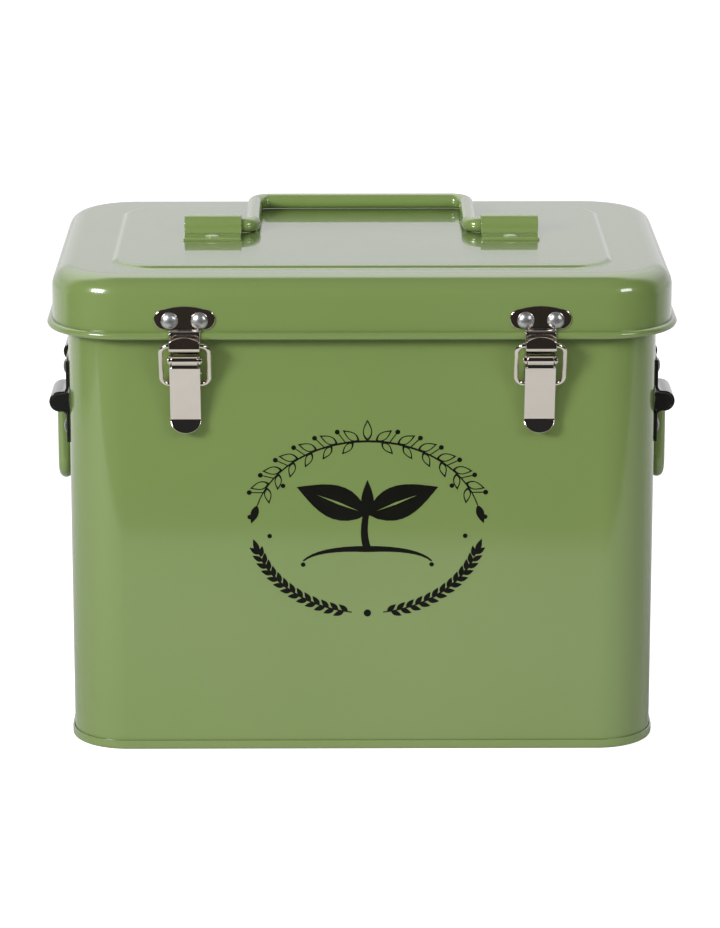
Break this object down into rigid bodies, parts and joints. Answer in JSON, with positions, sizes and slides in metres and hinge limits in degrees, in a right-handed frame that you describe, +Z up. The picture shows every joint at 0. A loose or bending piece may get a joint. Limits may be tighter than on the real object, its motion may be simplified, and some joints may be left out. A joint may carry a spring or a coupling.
{
  "type": "seed organizer box",
  "caption": "Enamelled steel box with round corners, an overhanging hinged lid, a folding wire handle, toggle latches at the front, drop handles on the ends and sliding dividers inside.",
  "frame": {"origin": "middle of the flat underside", "axes": "+X to the right along the long side, +Y from the latches at the front to the hinges at the back, +Z up"},
  "size_m": [0.2546, 0.1765, 0.2077],
  "materials": {
    "green_enamel": "gloss enamel",
    "nickel_plate": "bright nickel plate",
    "aluminium": "satin"
  },
  "bodies": {
    "box": {"body_wall": "green_enamel", "bottom_pan": "green_enamel", "partition": "green_enamel", "latch_base_left": "nickel_plate", "latch_base_right": "nickel_plate", "latch_pin_left": "nickel_plate", "latch_pin_right": "nickel_plate", "latch_rivets": "nickel_plate", "side_bracket_left_front": "green_enamel", "side_bracket_left_rear": "green_enamel", "side_bracket_right_front": "green_enamel", "side_bracket_right_rear": "green_enamel", "side_bracket_rivets": "green_enamel", "hinge_body_leaf_left": "green_enamel", "hinge_body_leaf_right": "green_enamel", "hinge_pin_left": "nickel_plate", "hinge_pin_right": "nickel_plate", "hinge_body_rivets": "green_enamel"},
    "lid": {"lid_shell": "green_enamel", "keeper_left": "nickel_plate", "keeper_right": "nickel_plate", "keeper_rivets": "aluminium", "lid_handle_bracket_left": "green_enamel", "lid_handle_bracket_right": "green_enamel", "lid_bracket_rivets": "green_enamel", "hinge_lid_leaf_left": "green_enamel", "hinge_lid_leaf_right": "green_enamel", "hinge_lid_rivets": "green_enamel"},
    "lid_handle": {"lid_handle": "green_enamel"},
    "side_handle_left": {"side_handle_left": "green_enamel"},
    "side_handle_right": {"side_handle_right": "green_enamel"},
    "lever_left": {"latch_lever_left": "nickel_plate"},
    "lever_right": {"latch_lever_right": "nickel_plate"},
    "bail_left": {"latch_bail_left": "nickel_plate"},
    "bail_right": {"latch_bail_right": "nickel_plate"},
    "divider_left": {"divider_left": "green_enamel"},
    "divider_right": {"divider_right": "green_enamel"}
  },
  "joints": [
    {"name": "lid_hinge", "type": "hinge", "parent": "box", "child": "lid", "pos_m": [0, 0.0807, 0.1695], "axis": [-1, 0, 0], "range_deg": [0, 105]},
    {"name": "lid_handle_fold", "type": "hinge", "parent": "lid", "child": "lid_handle", "pos_m": [0, 0, 0.2031], "axis": [1, 0, 0], "range_deg": [0, 180]},
    {"name": "side_handle_left_swing", "type": "hinge", "parent": "box", "child": "side_handle_left", "pos_m": [-0.1227, 0, 0.1414], "axis": [0, 1, 0], "range_deg": [0, 165]},
    {"name": "lever_left_turn", "type": "hinge", "parent": "box", "child": "lever_left", "pos_m": [-0.0707, -0.085, 0.1656], "axis": [-1, 0, 0], "range_deg": [0, 96]},
    {"name": "bail_left_turn", "type": "hinge", "parent": "lever_left", "child": "bail_left", "pos_m": [-0.0707, -0.0793, 0.1545], "axis": [-1, 0, 0], "range_deg": [-46, 0]},
    {"name": "divider_left_slide", "type": "slide", "parent": "box", "child": "divider_left", "axis": [0, 1, 0], "range_m": [-0.05, 0.05]},
    {"name": "side_handle_right_swing", "type": "hinge", "parent": "box", "child": "side_handle_right", "pos_m": [0.1227, 0, 0.1414], "axis": [0, -1, 0], "range_deg": [0, 165]},
    {"name": "lever_right_turn", "type": "hinge", "parent": "box", "child": "lever_right", "pos_m": [0.0707, -0.085, 0.1656], "axis": [-1, 0, 0], "range_deg": [0, 96]},
    {"name": "bail_right_turn", "type": "hinge", "parent": "lever_right", "child": "bail_right", "pos_m": [0.0707, -0.0793, 0.1545], "axis": [-1, 0, 0], "range_deg": [-46, 0]},
    {"name": "divider_right_slide", "type": "slide", "parent": "box", "child": "divider_right", "axis": [0, 1, 0], "range_m": [-0.05, 0.05]}
  ],
  "couplings": [
    {"joint": "bail_left_turn", "follows": "lever_left_turn", "ratio": -0.43},
    {"joint": "bail_right_turn", "follows": "lever_right_turn", "ratio": -0.43}
  ]
}
